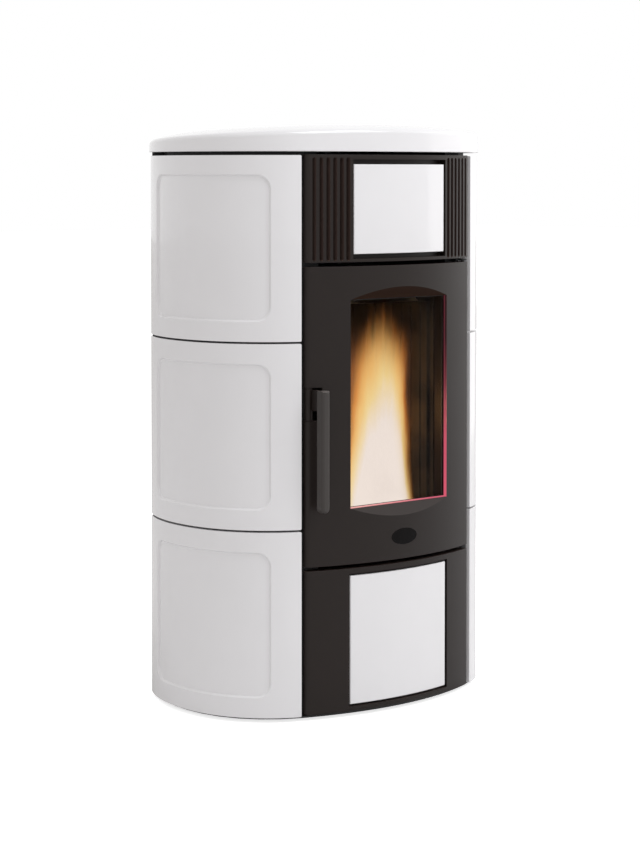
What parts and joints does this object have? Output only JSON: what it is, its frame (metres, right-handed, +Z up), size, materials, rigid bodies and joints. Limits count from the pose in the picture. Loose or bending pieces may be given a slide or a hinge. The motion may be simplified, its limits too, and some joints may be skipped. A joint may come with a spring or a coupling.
{
  "type": "tiled stove",
  "caption": "Free-standing pellet stove with a rounded plan, white ceramic cladding tiles and top, and a dark curved front column with a slotted grille, glazed fire door and bar handle.",
  "frame": {"origin": "on the floor, under the middle of the stove's box", "axes": "+Z up, the fire door faces -Y, +X to the right as one faces the door"},
  "size_m": [0.6958, 0.491, 1.1303],
  "materials": {
    "white_glaze": "gloss white glaze",
    "anthracite": "satin dark anthracite enamel",
    "handle_bronze": "satin bronze-grey enamel",
    "black_steel": "matt black heat-resistant paint",
    "zinc_steel": "zinc-plated sheet steel",
    "stainless": "plain stainless steel",
    "cast_iron": "as cast, sooty",
    "vermiculite": "pressed vermiculite board",
    "ceramic_glass": "clear heat-resistant glass, faintly brown",
    "rope_seal": "woven glass-fibre rope",
    "black_plastic": "moulded black plastic"
  },
  "bodies": {
    "root": {"base_plate": "black_steel", "foot_front_left": "zinc_steel", "foot_front_right": "zinc_steel", "foot_rear_left": "zinc_steel", "foot_rear_right": "zinc_steel", "front_post_right": "black_steel", "front_post_left": "black_steel", "side_liner_right": "zinc_steel", "side_liner_left": "zinc_steel", "rear_panel": "black_steel", "top_frame": "black_steel", "tile_right_bottom": "white_glaze", "tile_right_middle": "white_glaze", "tile_right_top": "white_glaze", "tile_left_bottom": "white_glaze", "tile_left_middle": "white_glaze", "tile_left_top": "white_glaze", "top_slab": "white_glaze", "lid_pin": "zinc_steel", "grille_panel": "anthracite", "upper_tile": "white_glaze", "lower_panel": "anthracite", "lower_tile": "white_glaze", "hinge_bracket_bottom": "zinc_steel", "hinge_bracket_top": "zinc_steel", "latch_keeper": "zinc_steel", "firebox": "black_steel", "liner_back": "cast_iron", "liner_left": "cast_iron", "liner_right": "cast_iron", "baffle_plate": "vermiculite", "burn_pot_holder": "cast_iron", "burn_pot": "cast_iron", "ash_drawer": "zinc_steel", "igniter": "stainless", "air_inlet_pipe": "zinc_steel", "hopper": "zinc_steel", "hopper_grid": "zinc_steel", "auger_tube": "zinc_steel", "auger_motor": "zinc_steel", "feed_chute": "zinc_steel", "smoke_duct": "zinc_steel", "smoke_fan_housing": "zinc_steel", "smoke_fan_motor": "black_plastic", "flue_spigot": "black_steel", "room_fan_housing": "zinc_steel", "room_fan_motor": "zinc_steel", "power_inlet": "black_plastic", "control_panel": "black_plastic"},
    "door": {"door_frame": "anthracite", "door_glass": "ceramic_glass", "glass_retainer": "zinc_steel", "door_gasket": "rope_seal"},
    "handle": {"handle_lever": "anthracite", "handle_grip": "handle_bronze"},
    "lid": {"hopper_lid": "white_glaze"},
    "auger": {"auger_screw": "stainless"},
    "smoke_impeller": {"smoke_fan_impeller": "stainless"},
    "room_impeller": {"room_fan_impeller": "black_plastic"},
    "rocker": {"power_switch": "black_plastic"}
  },
  "joints": [
    {"name": "door_hinge", "type": "hinge", "parent": "root", "child": "door", "pos_m": [0.207, -0.19564, 0.575], "axis": [0, 0, 1], "range_deg": [0, 110]},
    {"name": "handle_pivot", "type": "hinge", "parent": "door", "child": "handle", "pos_m": [-0.207, -0.19564, 0.6], "axis": [0, 0, -1], "range_deg": [-8, 40]},
    {"name": "lid_hinge", "type": "hinge", "parent": "root", "child": "lid", "pos_m": [0, 0.1775, 1.104], "axis": [-1, 0, 0], "range_deg": [0, 75]},
    {"name": "auger_turn", "type": "hinge", "parent": "root", "child": "auger", "pos_m": [-0.168, 0.1225, 0.488], "axis": [0.788, 0, 0.6157], "continuous": true},
    {"name": "smoke_fan_turn", "type": "hinge", "parent": "root", "child": "smoke_impeller", "pos_m": [0.08, 0.0975, 0.19], "axis": [0, 1, 0], "continuous": true},
    {"name": "room_fan_turn", "type": "hinge", "parent": "root", "child": "room_impeller", "pos_m": [0, -0.0825, 0.082], "axis": [1, 0, 0], "continuous": true},
    {"name": "switch_rock", "type": "hinge", "parent": "root", "child": "rocker", "pos_m": [0.185, 0.1915, 0.107], "axis": [-1, 0, 0], "range_deg": [0, 16]}
  ]
}
